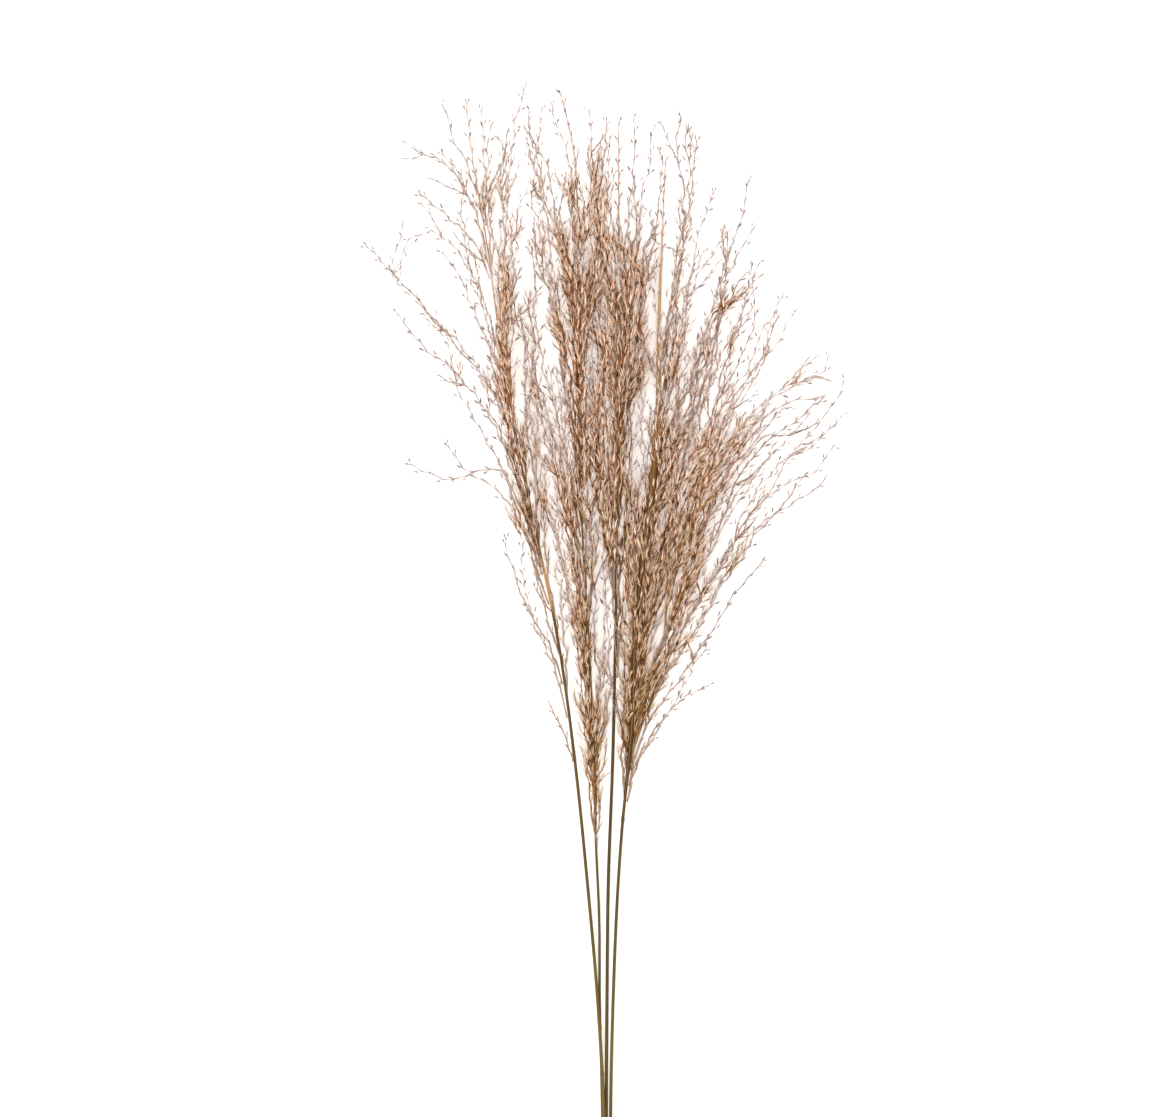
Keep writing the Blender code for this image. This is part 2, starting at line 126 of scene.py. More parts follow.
# Branchlets, tufts and the tip of each head
BRANCHLET_LENGTHS = (0.014, 0.034)
BRANCHLET_ANGLES = (14, 40)
BRANCHLET_STEPS = 8
BRANCHLET_END = 0.012
ROUTE_STEPS = 24
TUFT_SEAT = 0.0011
TUFT_HEIGHT = 0.6
TUFT_LENGTHS = (0.75, 1.15)
TUFT_REACHES = (0.65, 1.0)
TUFT_OPENINGS = (0.45, 0.9)
OVERRUN = 0.030
HEAD_END = 0.09
HEAD_END_STEPS = 12

# What is left of how far a route would leave the model's box, and how high above the floor strands lie
OUTSIDE = 0.3
REST_HEIGHT = 0.0008

# Spikelets. Where there are two values or ranges, the first is for those that stand apart and the second for
# those in the thick of a head. Of a node's two spikelets one has a long stem and the other, which may be
# missing, a short one.
GLUME_LENGTH = 0.0044
GLUME_WIDTH = 0.00105
GLUME_THICKNESS = 0.00036
GLUME_OPENINGS = (0.00004, 0.00020, 0.00046)
GLUME_TIP_OPENING = 0.00085
AWN_SEAT = 0.80
AWN_LENGTH = 0.0060
AWN_SHARES = ((0.35, 0.75), (0.5, 1.15))
AWN_KNEE = 0.4
AWN_RADII = (0.00020, 0.00034)
HAIRS = 2
HAIR_LENGTH = (0.0055, 0.0105)
HAIR_RADIUS = (0.00010, 0.00056)
HAIR_DROP = 0.5
FLOW = 0.6
PEDICEL_RADIUS = 0.00032
PEDICEL_END = 0.0012
LONG_STEMS = ((0.0015, 0.0032), (0.0028, 0.0060))
LONG_STEM_ANGLES = ((26, 56), (28, 62))
LONG_BODY_ANGLES = ((14, 48), (8, 38))
SHORT_SHARE = 0.75
SHORT_STEMS = ((0.0007, 0.0015), (0.0009, 0.0024))
SHORT_STEM_ANGLES = ((16, 40), (18, 46))
SHORT_BODY_ANGLES = ((8, 36), (6, 32))
FLATTENED = 0.6
CLOSE_AT_BASE = 0.85
SPRIG_VALUES = ("place", "forward", "outward", "size", "long", "golden")

# Crowding is measured in cells of this size, as spikelets for each square millimetre. In the thick of a head
# it turns the colours much darker, painted shade among the crowded strands.
CROWD_CELL = 0.003
CROWD_COUNTS = (0.028, 0.115)
CROWD_TONE = 1.7

# Tones of stalks and spikelets: by chance, and paler up to this height. The part by height is painted shade:
# the lower a strand lies in the bundle, the darker it is painted.
TONE_BY_CHANCE = 0.6
DARK_SHARE = 0.27
PAINTED_SHADE_HEIGHT = 0.035

# The camera looks straight down on this stretch of the bundle
VIEW_CENTRE = (-0.0068, 0.0789)
VIEW_WIDTH = 0.876
VIEW_HEIGHT = 2.6
SENSOR = 36.0

# The suns' names, how far they are turned to a side and how wide they are, in degrees, and their strengths
SUNS = (("left", -30, 24, 1.5), ("right", 50, 40, 0.35), ("top", 0, 16, 1.5))
FLOOR_HALF = 6.0

# The four heads. "seed" starts a head's chance values. "radius" is that of its culm at the foot, "deep" how
# dark the culm is there, "joints" where its joints are, "neck" where the head starts and "golden" where its
# axis is golden. "racemes" counts those of the model, and "stout" says how much thicker than the rest some of
# them are. The others say what grows besides them: "between" is how many grow between each raceme and the
# next, "swing" how far these swing about their seats, in degrees, and "branching" the share of nodes with a
# branchlet. A tuft is (what it grows on, how many, the first and last place where they grow, their length at
# each, how far their tips spread, how far they lean sideways and, where they lie over the leaf, how far they
# rise).
HEADS = {
    "left": {
        "seed": 20,
        "radius": 0.00128,
        "deep": 0.15,
        "swing": 4,
        "branching": 0.04,
        "joints": (0.118,),
        "neck": 0.350,
        "golden": ((0.462, 0.514),),
        "racemes": 17,
        "between": (0, 0, 0, 0, 1, 0, 1, 0, 0, 1, 0, 0, 1, 0, 0, 1),
        "stout": {7: 1.4, 10: 1.9},
        "tufts": (
            ("culm_left", 3, (0.395, 0.440), (0.110, 0.100), 0.008, 0.0),
            ("culm_left", 2, (0.440, 0.520), (0.100, 0.100), 0.004, 0.004),
            ("culm_left", 6, (0.480, 0.640), (0.120, 0.090), 0.012, 0.002),
            ("culm_left", 3, (0.560, 0.740), (0.120, 0.060), 0.012, 0.010),
            ("raceme_left_10", 5, (0.620, 0.770), (0.100, 0.060), 0.012, 0.004),
            ("culm_left", 3, (0.500, 0.620), (0.150, 0.110), 0.014, 0.014),
        ),
    },
    "centre_left": {
        "seed": 11,
        "radius": 0.00106,
        "deep": 0.45,
        "swing": 7,
        "branching": 0.06,
        "joints": (0.152,),
        "neck": 0.300,
        "golden": (),
        "racemes": 12,
        "between": (0, 1, 1, 0, 1, 0, 1, 0, 1, 0, 1),
        "stout": {},
        "tufts": (
            ("culm_centre_left", 7, (0.283, 0.335), (0.030, 0.060), 0.0006, 0.0),
            ("culm_centre_left", 4, (0.290, 0.360), (0.090, 0.160), 0.007, 0.0),
            ("culm_centre_left", 4, (0.310, 0.365), (0.090, 0.110), 0.005, -0.010),
            ("culm_centre_left", 8, (0.340, 0.600), (0.210, 0.140), 0.034, -0.002),
            ("culm_centre_left", 5, (0.420, 0.580), (0.170, 0.120), 0.014, 0.014),
            ("culm_centre_left", 2, (0.480, 0.600), (0.180, 0.120), 0.020, -0.022),
            ("culm_centre_left", 2, (0.560, 0.630), (0.150, 0.120), 0.008, -0.022),
            ("culm_centre_left", 9, (0.620, 0.750), (0.140, 0.080), 0.036, -0.006),
        ),
    },
    "centre": {
        "seed": 5,
        "radius": 0.00130,
        "deep": 0.7,
        "swing": 7,
        "branching": 0.06,
        "joints": (),
        "neck": 0.385,
        "golden": ((0.634, 0.653),),
        "racemes": 10,
        "between": (1, 0, 1, 0, 1, 0, 1, 0, 1),
        "stout": {},
        "tufts": (
            ("culm_centre", 8, (0.490, 0.660), (0.170, 0.120), 0.028, 0.0),
            ("culm_centre", 5, (0.480, 0.660), (0.150, 0.120), 0.016, -0.018),
            ("culm_centre", 3, (0.470, 0.580), (0.160, 0.130), 0.012, 0.012),
            ("culm_centre", 3, (0.460, 0.560), (0.200, 0.160), 0.004, -0.010),
            ("culm_centre", 4, (0.600, 0.740), (0.130, 0.070), 0.024, 0.008),
        ),
    },
    "right": {
        "seed": 20,
        "radius": 0.00124,
        "deep": 0.35,
        "swing": 5,
        "branching": 0.05,
        "joints": (0.308,),
        "neck": 0.322,
        "golden": ((0.548, 0.611),),
        "racemes": 16,
        "between": (0, 0, 1, 1, 1, 1, 2, 1, 1, 1, 1, 0, 0, 1, 0),
        "stout": {7: 1.7},
        "tufts": (
            ("culm_right", 4, (0.318, 0.380), (0.070, 0.150), 0.006, -0.004),
            ("culm_right", 6, (0.325, 0.360), (0.080, 0.090), 0.005, -0.010),
            ("culm_right", 4, (0.350, 0.430), (0.150, 0.150), 0.008, -0.010),
            ("culm_right", 5, (0.350, 0.470), (0.130, 0.130), 0.007, -0.003, 0.010),
            ("culm_right", 4, (0.400, 0.480), (0.170, 0.150), 0.004, -0.012),
            ("culm_right", 3, (0.410, 0.500), (0.120, 0.120), 0.004, 0.004),
            ("culm_right", 2, (0.560, 0.660), (0.130, 0.090), 0.024, 0.0),
            ("culm_right", 3, (0.400, 0.580), (0.170, 0.130), 0.012, 0.004),
            ("culm_right", 5, (0.460, 0.640), (0.200, 0.130), 0.024, 0.036),
            ("culm_right", 5, (0.400, 0.480), (0.210, 0.170), 0.026, 0.040),
            ("culm_right", 4, (0.450, 0.580), (0.210, 0.160), 0.034, 0.062),
            ("raceme_right_07", 5, (0.440, 0.580), (0.150, 0.080), 0.022, 0.0),
            ("raceme_right_07", 4, (0.420, 0.500), (0.160, 0.120), 0.024, 0.016),
        ),
    },
}

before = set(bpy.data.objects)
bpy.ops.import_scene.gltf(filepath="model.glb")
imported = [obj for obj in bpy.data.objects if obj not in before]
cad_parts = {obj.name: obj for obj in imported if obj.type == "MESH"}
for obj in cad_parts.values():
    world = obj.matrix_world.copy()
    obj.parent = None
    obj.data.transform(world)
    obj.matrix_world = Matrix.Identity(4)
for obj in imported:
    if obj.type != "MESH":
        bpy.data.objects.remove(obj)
cad_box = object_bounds()
chance = np.random.default_rng(HEADS["left"]["seed"])
cut_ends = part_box("culm_centre_left")[0].y


def running_length(points):
    steps = np.linalg.norm(np.diff(points, axis=0), axis=1)
    return np.concatenate([[0.0], np.cumsum(steps)])


def points_along(route, distances):
    """Points at these distances along a route, in straight steps between its own points."""
    length = running_length(route)
    return np.column_stack([np.interp(distances, length, route[:, axis]) for axis in range(3)])


def units(vectors):
    return vectors / np.linalg.norm(vectors, axis=-1, keepdims=True)


def frames(route):
    """For each point of a route, the directions forwards, to the right and upwards."""
    forward = units(np.gradient(route, axis=0))
    right = units(np.cross(forward, (0.0, 0.0, 1.0)))
    return forward, right, np.cross(right, forward)


def centre_line(node, sides):
    """Middle of each ring of points of one of the model's solids, from its flat end to its tip."""
    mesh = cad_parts[node].data
    corners = np.empty(len(mesh.vertices) * 3, np.float32)
    mesh.vertices.foreach_get("co", corners)
    points, index = np.unique(corners.reshape(-1, 3).round(5), axis=0, return_inverse=True)
    index = index.ravel()
    beside = [set() for _ in points]
    for edge in mesh.edges:
        here, there = index[edge.vertices[0]], index[edge.vertices[1]]
        beside[here].add(there)
        beside[there].add(here)
    ring = set(np.argsort(points[:, 1])[:sides])
    seen, middles = set(), []
    while ring:
        seen |= ring
        carrying = [point for point in ring if beside[point] - seen] or list(ring)
        middles.append(points[carrying].mean(axis=0))
        ring = set().union(*(beside[point] for point in ring)) - seen
    return np.array(middles)


def crowding(seats):
    """How crowded the heads are at any point: 0 where spikelets stand apart and 1 in the thick of a head."""
    low = seats.min(axis=0)[:2] - 4 * CROWD_CELL
    shape = ((seats.max(axis=0)[:2] + 4 * CROWD_CELL - low) / CROWD_CELL).astype(int) + 1
    cells = ((seats[:, :2] - low) / CROWD_CELL).astype(int)
    counts = np.zeros(shape)
    np.add.at(counts, (cells[:, 0], cells[:, 1]), 1.0)
    for _ in range(2):
        for side in (0, 1):
            counts = (np.roll(counts, 1, side) + counts + np.roll(counts, -1, side)) / 3
    thick = np.clip((counts / (1e6 * CROWD_CELL**2) - CROWD_COUNTS[0]) / np.ptp(CROWD_COUNTS), 0.0, 1.0)

    def crowd_at(points):
        place = ((points[..., :2] - low) / CROWD_CELL).astype(int)
        return thick[np.clip(place[..., 0], 0, shape[0] - 1), np.clip(place[..., 1], 0, shape[1] - 1)]

    return crowd_at


def lying(points):
    """The points, with those that would be in the floor pressed flat just above it."""
    height = points[..., 2]
    pressed = REST_HEIGHT * np.exp(np.minimum(height - REST_HEIGHT, 0.0) / REST_HEIGHT)
    lifted = points.copy()
    lifted[..., 2] = np.where(height < REST_HEIGHT, pressed, height)
    return lifted


class Shape:
    """Collects the points, faces and values for each point of one piece."""

    def __init__(self):
        self.points, self.faces, self.values, self.count = [], [], {}, 0

    def add(self, points, faces, **values):
        """Adds copies of a shape.

        points is (copies, points, 3), and each of the values is (copies, points) or (copies, 1).
        """
        copies, size = points.shape[:2]
        first = self.count + size * np.arange(copies)[:, None, None]
        for corners in faces:
            self.faces.append((np.asarray(corners)[None] + first).reshape(-1, len(corners[0])))
        for name, value in values.items():
            spread = np.broadcast_to(np.asarray(value, float), (copies, size))
            self.values.setdefault(name, []).append(spread.ravel())
        self.points.append(lying(points).reshape(-1, 3))
        self.count += copies * size

    def to_piece(self, name, material, slot, nodes, crowd_at=None):
        mesh = bpy.data.meshes.new(name)
        if crowd_at:
            self.values["crowd"] = [crowd_at(np.concatenate(self.points)) ** CROWD_TONE]
        corners = np.concatenate([faces.ravel() for faces in self.faces]).astype(np.int32)
        sizes = np.concatenate([np.full(len(faces), faces.shape[1]) for faces in self.faces])
        mesh.vertices.add(self.count)
        mesh.vertices.foreach_set("co", np.concatenate(self.points).astype(np.float32).ravel())
        mesh.loops.add(len(corners))
        mesh.loops.foreach_set("vertex_index", corners)
        mesh.polygons.add(len(sizes))
        starts = np.concatenate([[0], np.cumsum(sizes)[:-1]]).astype(np.int32)
        mesh.polygons.foreach_set("loop_start", starts)
        mesh.polygons.foreach_set("use_smooth", np.ones(len(sizes), bool))
        for value_name, parts in self.values.items():
            attribute = mesh.attributes.new(value_name, "FLOAT", "POINT")
            attribute.data.foreach_set("value", np.concatenate(parts).astype(np.float32))
        mesh.update(calc_edges=True)
        mesh.validate()
        mesh.materials.append(material)
        piece = bpy.data.objects.new(name, mesh)
        bpy.context.scene.collection.objects.link(piece)
        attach(piece, "root")
        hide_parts(*nodes)


def strand_faces(rings, sides):
    """Faces of a tube of rings that starts with a flat end and ends in one point."""
    side = np.arange(sides)
    turned = (side + 1) % sides
    walls = [
        np.column_stack([base + side, base + turned, base + sides + turned, base + sides + side])
        for base in sides * np.arange(rings - 1)
    ]
    last = sides * (rings - 1)
    tip = np.full(sides, last + sides)
    point = np.column_stack([last + side, last + turned, tip])
    return [side[None, ::-1], np.concatenate(walls), point]


def strands(paths, radii, sides):
    """Round tubes along many paths of the same number of points, each ending in a point.

    paths is (strands, points, 3) and radii is (strands, points), of which the last is not used.
    """
    forward = units(np.gradient(paths, axis=1))
    right = units(np.cross(forward, (0.0, 0.02, 1.0)))
    up = np.cross(right, forward)
    turns = 2 * math.pi * np.arange(sides) / sides
    ring = np.cos(turns)[:, None] * right[:, :-1, None] + np.sin(turns)[:, None] * up[:, :-1, None]
    rings = paths[:, :-1, None] + radii[:, :-1, None, None] * ring
    copies = len(paths)
    points = np.concatenate([rings.reshape(copies, -1, 3), paths[:, -1:]], axis=1)
    return points, strand_faces(paths.shape[1] - 1, sides)


def ring_values(values, sides):
    """A value for each point of strands, from one for each point of their paths."""
    return np.concatenate([np.repeat(values[:, :-1], sides, axis=1), values[:, -1:]], axis=1)


# Materials


def new_material(name, roughness):
    material = bpy.data.materials.new(name)
    material.use_nodes = True
    nodes = material.node_tree.nodes
    shader = nodes["Principled BSDF"]
    shader.inputs["Roughness"].default_value = roughness
    shader.inputs["Specular IOR Level"].default_value = 0.05
    return material, nodes, material.node_tree.links, shader


def value_of(nodes, name):
    node = nodes.new("ShaderNodeAttribute")
    node.attribute_name = name
    return node.outputs["Fac"]


def noise(nodes, links, scale, stretch, detail):
    """Noise in the object's own space, stretched along the bundle."""
    place = nodes.new("ShaderNodeTexCoord")
    mapping = nodes.new("ShaderNodeMapping")
    mapping.inputs["Scale"].default_value = (scale, scale / stretch, scale)
    texture = nodes.new("ShaderNodeTexNoise")
    texture.inputs["Scale"].default_value = 1.0
    texture.inputs["Detail"].default_value = detail
    links.new(place.outputs["Object"], mapping.inputs["Vector"])
    links.new(mapping.outputs["Vector"], texture.inputs["Vector"])
    return texture.outputs["Fac"]


def ramp(nodes, links, factor, stops):
    """A colour for each value of the factor; stops are (value, colour)."""
    node = nodes.new("ShaderNodeValToRGB")
    elements = node.color_ramp.elements
    while len(elements) < len(stops):
        elements.new(0.5)
    for element, (position, colour) in zip(elements, stops):
        element.position = position
        element.color = (*colour, 1.0)
    links.new(factor, node.inputs["Fac"])
    return node.outputs["Color"]


def arithmetic(nodes, links, operation, first, second, third=None):
    node = nodes.new("ShaderNodeMath")
    node.operation = operation
    for socket, value in zip(node.inputs, (first, second, third)):
        if isinstance(value, (int, float)):
            socket.default_value = value
        elif value is not None:
            links.new(value, socket)
    return node.outputs["Value"]


def mixed(nodes, links, factor, first, second, blend="MIX"):
    node = nodes.new("ShaderNodeMix")
    node.data_type = "RGBA"
    node.blend_type = blend
    for socket, value in ((node.inputs[0], factor), (node.inputs[6], first), (node.inputs[7], second)):
        if isinstance(value, (int, float)):
            socket.default_value = value
        elif isinstance(value, tuple):
            socket.default_value = (*value, 1.0)
        else:
            links.new(value, socket)
    return node.outputs[2]


def bump(nodes, links, shader, height, distance, strength):
    node = nodes.new("ShaderNodeBump")
    node.inputs["Distance"].default_value = distance
    node.inputs["Strength"].default_value = strength
    links.new(height, node.inputs["Height"])
    links.new(node.outputs["Normal"], shader.inputs["Normal"])


def by_crowding(nodes, links, factor, apart, crowded):
    """A colour ramp for what stands apart from the rest, turning into another in the thick of a head. The
    crowded ramps run much darker, painted shade among the crowded strands, besides their own warmer tones.
    """
    return mixed(
        nodes,
        links,
        value_of(nodes, "crowd"),
        ramp(nodes, links, factor, apart),
        ramp(nodes, links, factor, crowded),
    )


def glume_material():
    material, nodes, links, shader = new_material("glume", 0.55)
    grain = noise(nodes, links, 2600.0, 5.0, 2.0)
    place = arithmetic(nodes, links, "MULTIPLY_ADD", value_of(nodes, "along"), 0.40, value_of(nodes, "shade"))
    place = arithmetic(nodes, links, "MULTIPLY_ADD", grain, 0.20, place)
    colour = by_crowding(
        nodes,
        links,
        arithmetic(nodes, links, "DIVIDE", place, 1.60),
        (
            (0.00, (0.120, 0.090, 0.095)),
            (0.25, (0.210, 0.165, 0.170)),
            (0.55, (0.390, 0.310, 0.300)),
            (0.85, (0.680, 0.580, 0.540)),
        ),
        # In the thick of a head the low stops are much darker than apart: painted shade among the crowded
        # spikelets, on top of their own dark bases and the dark spikelets.
        (
            (0.00, (0.030, 0.009, 0.003)),
            (0.13, (0.160, 0.050, 0.016)),
            (0.24, (0.620, 0.320, 0.180)),
            (0.75, (0.870, 0.620, 0.470)),
        ),
    )
    colour = mixed(nodes, links, value_of(nodes, "golden"), colour, (0.600, 0.390, 0.180))
    links.new(colour, shader.inputs["Base Color"])
    bump(nodes, links, shader, grain, 0.0001, 0.5)
    return material


def awn_material():
    material, nodes, links, shader = new_material("awn", 0.6)
    colour = by_crowding(
        nodes,
        links,
        value_of(nodes, "shade"),
        (
            (0.0, (0.300, 0.230, 0.210)),
            (0.5, (0.600, 0.480, 0.430)),
            (0.6, (0.880, 0.770, 0.710)),
            (1.0, (0.940, 0.860, 0.810)),
        ),
        # In the thick of a head the low stops are much darker than apart: painted shade among the crowded
        # strands; the warmer pale stops are the hairs' own colour.
        (
            (0.0, (0.090, 0.030, 0.010)),
            (0.5, (0.560, 0.280, 0.145)),
            (0.6, (0.880, 0.600, 0.430)),
            (1.0, (0.970, 0.760, 0.620)),
        ),
    )
    colour = mixed(nodes, links, value_of(nodes, "golden"), colour, (0.780, 0.560, 0.320))
    links.new(colour, shader.inputs["Base Color"])
    return material


def raceme_axis_material():
    material, nodes, links, shader = new_material("raceme_axis", 0.6)
    colour = by_crowding(
        nodes,
        links,
        value_of(nodes, "shade"),
        (
            (0.0, (0.600, 0.480, 0.440)),
            (0.5, (0.760, 0.640, 0.600)),
            (1.0, (0.880, 0.790, 0.760)),
        ),
        # In the thick of a head the stalks run from near black to warm tan: the dark end is painted shade
        # among the crowded strands, the warm tones their own colour.
        (
            (0.0, (0.070, 0.020, 0.005)),
            (0.3, (0.220, 0.080, 0.024)),
            (0.6, (0.530, 0.240, 0.105)),
            (1.0, (0.870, 0.540, 0.350)),
        ),
    )
    colour = mixed(nodes, links, value_of(nodes, "golden"), colour, (0.300, 0.165, 0.052))
    # Knots are darker than the stalk, their own colour; in the thick of a head they are painted far darker
    # still, painted shade among the crowded strands.
    knot = mixed(nodes, links, value_of(nodes, "crowd"), (0.360, 0.290, 0.290), (0.050, 0.016, 0.005))
    colour = mixed(nodes, links, value_of(nodes, "knot"), colour, knot)
    flecks = noise(nodes, links, 900.0, 8.0, 3.0)
    grey = ramp(nodes, links, flecks, ((0.3, (0.35,) * 3), (0.7, (0.70,) * 3)))
    colour = mixed(nodes, links, 0.5, colour, grey, "OVERLAY")
    links.new(colour, shader.inputs["Base Color"])
    bump(nodes, links, shader, flecks, 0.0001, 0.4)
    return material


def culm_material():
    material, nodes, links, shader = new_material("culm", 0.5)
    shader.inputs["Specular IOR Level"].default_value = 0.15
    base = ramp(
        nodes,
        links,
        value_of(nodes, "along"),
        (
            (0.00, (0.150, 0.098, 0.018)),
            (0.16, (0.145, 0.103, 0.018)),
            (0.34, (0.112, 0.078, 0.013)),
            (0.50, (0.105, 0.055, 0.010)),
            (0.66, (0.190, 0.090, 0.026)),
            (0.80, (0.420, 0.240, 0.125)),
            (1.00, (0.640, 0.440, 0.320)),
        ),
    )
    base = mixed(nodes, links, value_of(nodes, "deep"), base, (0.060, 0.038, 0.010))
    fibres = noise(nodes, links, 3200.0, 90.0, 4.0)
    patches = noise(nodes, links, 160.0, 8.0, 2.0)
    streaks = ramp(nodes, links, fibres, ((0.30, (0.30, 0.30, 0.30)), (0.70, (0.72, 0.70, 0.66))))
    colour = mixed(nodes, links, 0.75, base, streaks, "OVERLAY")
    blotches = ramp(nodes, links, patches, ((0.35, (0.38, 0.38, 0.38)), (0.65, (0.62, 0.60, 0.55))))
    colour = mixed(nodes, links, 0.6, colour, blotches, "OVERLAY")
    colour = mixed(nodes, links, value_of(nodes, "golden"), colour, (0.520, 0.300, 0.085))
    colour = mixed(nodes, links, value_of(nodes, "joint"), colour, (0.120, 0.066, 0.028))
    colour = mixed(nodes, links, value_of(nodes, "pith"), colour, (0.800, 0.700, 0.520))
    links.new(colour, shader.inputs["Base Color"])
    bump(nodes, links, shader, fibres, 0.00012, 0.6)
    return material


def leaf_material():
    material, nodes, links, shader = new_material("flag_leaf", 0.48)
    base = ramp(
        nodes,
        links,
        value_of(nodes, "along"),
        (
            (0.00, (0.070, 0.032, 0.008)),
            (0.40, (0.080, 0.036, 0.008)),
            (0.52, (0.130, 0.058, 0.014)),
            (0.62, (0.210, 0.108, 0.032)),
            (0.79, (0.460, 0.250, 0.095)),
            (0.92, (0.600, 0.400, 0.230)),
            (1.00, (0.700, 0.560, 0.440)),
        ),
    )
    veins = noise(nodes, links, 2600.0, 120.0, 3.0)
    spots = noise(nodes, links, 220.0, 5.0, 3.0)
    streaks = ramp(nodes, links, veins, ((0.3, (0.32,) * 3), (0.7, (0.70,) * 3)))
    colour = mixed(nodes, links, 0.8, base, streaks, "OVERLAY")
    blotches = ramp(nodes, links, spots, ((0.3, (0.36,) * 3), (0.6, (0.58,) * 3)))
    colour = mixed(nodes, links, 0.6, colour, blotches, "OVERLAY")
    colour = mixed(nodes, links, value_of(nodes, "rib"), colour, (0.480, 0.310, 0.130))
    links.new(colour, shader.inputs["Base Color"])
    bump(nodes, links, shader, veins, 0.0002, 0.6)
    return material


def floor_material():
    material, nodes, links, shader = new_material("pale_floor", 0.9)
    shader.inputs["Base Color"].default_value = (0.9, 0.9, 0.9, 1.0)
    shader.inputs["Emission Color"].default_value = (1.0, 0.87, 0.77, 1.0)
    shader.inputs["Emission Strength"].default_value = 0.30
    return material


# Culms and the leaf


def axis_at(axis, distance):
    """Points on a head's axis at these distances from the cut ends."""
    places = np.atleast_1d(distance) + cut_ends
    return np.column_stack([np.interp(places, axis[:, 1], axis[:, side]) for side in range(3)])


def culm_radius(head, distance, end):
    full = head["radius"]
    return np.interp(distance, (0.0, head["neck"], end), (full, NECK_SHARE * full, AXIS_TIP_RADIUS))


def make_culm(name, head, axis, material):
    """A culm with its joints, running on into the axis of its head, and the pith in its cut end."""
    start, end = axis[0, 1] - cut_ends, axis[-1, 1] - cut_ends
    distances = set(np.linspace(start, end, round((end - start) / CULM_RING)))
    for joint in head["joints"]:
        distances |= {joint + step * JOINT_HALF_LENGTH for step in JOINT_RINGS}
    distances = np.array([start, start, start, *sorted(distances)])
    path = axis_at(axis, distances)
    path[:, 1] = distances + cut_ends
    radii = culm_radius(head, distances, end)
    joint_values = np.zeros(len(distances))
    for joint in head["joints"]:
        nearness = np.exp(-(((distances - joint) / JOINT_HALF_LENGTH) ** 2))
        radii = radii * (1 + JOINT_SWELLING * nearness)
        tint = np.exp(-(((distances - joint) / (JOINT_TINT_SHARE * JOINT_HALF_LENGTH)) ** 2))
        joint_values = np.maximum(joint_values, tint)
    radii[:3] *= (0.25, PITH_SHARE, 0.96)
    places = np.linspace(start, end, CULM_DIRECTIONS)
    _, right, up = frames(axis_at(axis, places))
    where = np.interp(distances, places, np.arange(CULM_DIRECTIONS)).astype(int)
    turns = 2 * math.pi * np.arange(CULM_SIDES) / CULM_SIDES
    ring = np.cos(turns)[:, None] * right[where][:, None] + np.sin(turns)[:, None] * up[where][:, None]
    rings = (path[:, None] + radii[:, None, None] * ring)[:-1]
    points = np.concatenate([rings.reshape(-1, 3), path[-1:]])[None]
    golden = np.zeros(len(distances))
    for first, last in head["golden"]:
        inside = np.minimum(distances - first, last - distances)
        golden = np.maximum(golden, np.clip(inside / GOLDEN_FADE, 0, 1))
    pith = np.zeros(len(distances))
    pith[:2] = 1.0
    shape = Shape()
    spread = {
        "along": distances / end,
        "joint": joint_values * JOINT_TINT,
        "golden": golden * GOLDEN_TINT,
        "pith": pith * PITH_TINT,
        "deep": head["deep"] * np.interp(distances / end, DEEP_FADE, (1.0, 0.0)),
    }
    shape.add(
        points,
        strand_faces(len(distances) - 1, CULM_SIDES),
        **{key: ring_values(value[None], CULM_SIDES) for key, value in spread.items()},
    )
    shape.to_piece(f"straw_{name}", material, "culm_straw", [f"culm_{name}"])


def make_leaf(material):
    """The flag leaf: a long folded blade with a raised middle rib."""
    line = centre_line("flag_leaf_right", LEAF_NODE_SIDES)
    length = running_length(line)[-1]
    count = round(length / LEAF_RING)
    distances = np.linspace(0.0, length, count)
    path = points_along(line, distances)
    share = distances / length
    widths = LEAF_WIDTH * np.interp(share, (0.0, 0.12, 0.35, 0.75, 1.0), (0.40, 0.70, 0.95, 0.85, 0.10))
    _, right, up = frames(path)
    across = np.array([-1.0, -0.66, -0.33, -0.08, 0.0, 0.08, 0.33, 0.66, 1.0])
    rise = LEAF_FOLD * np.abs(across) ** 1.2 - 0.5 * LEAF_FOLD
    rise[across == 0] -= LEAF_KEEL
    waves = LEAF_WAVE * np.sin(2 * math.pi * distances[:, None] / LEAF_WAVE_LENGTH + 1.6 * across[None])
    edge = widths[:, None] / LEAF_WIDTH
    top = (
        path[:, None]
        + 0.5 * (widths[:, None] * across)[..., None] * right[:, None]
        + (edge * (rise + waves * np.abs(across)) + 0.5 * LEAF_THICKNESS)[..., None] * up[:, None]
    )
    bottom = top - LEAF_THICKNESS * up[:, None]
    loop = np.concatenate([top, bottom[:, ::-1]], axis=1)
    sides = 2 * len(across)
    points = np.concatenate([loop[:-1].reshape(-1, 3), path[-1:]])[None]
    rib = LEAF_RIB_TINT * np.tile(np.exp(-((across / LEAF_RIB_WIDTH) ** 2)), 2 * (count - 1))
    along = np.repeat(share[:-1], sides)
    shape = Shape()
    faces = [corners[:, ::-1] for corners in strand_faces(count - 1, sides)]
    shape.add(points, faces, along=np.append(along, 1.0)[None], rib=np.append(rib, 0.0)[None])
    shape.to_piece("flag_leaf", material, "leaf_straw", ["flag_leaf_right"])


# Racemes


def between(first, second, share):
    """A raceme that grows between two others, shaped in part like each."""
    steps = np.linspace(0.0, 1.0, ROUTE_STEPS)
    near = points_along(first, steps * running_length(first)[-1])
    far = points_along(second, steps * running_length(second)[-1])
    return (1 - share) * near + share * far


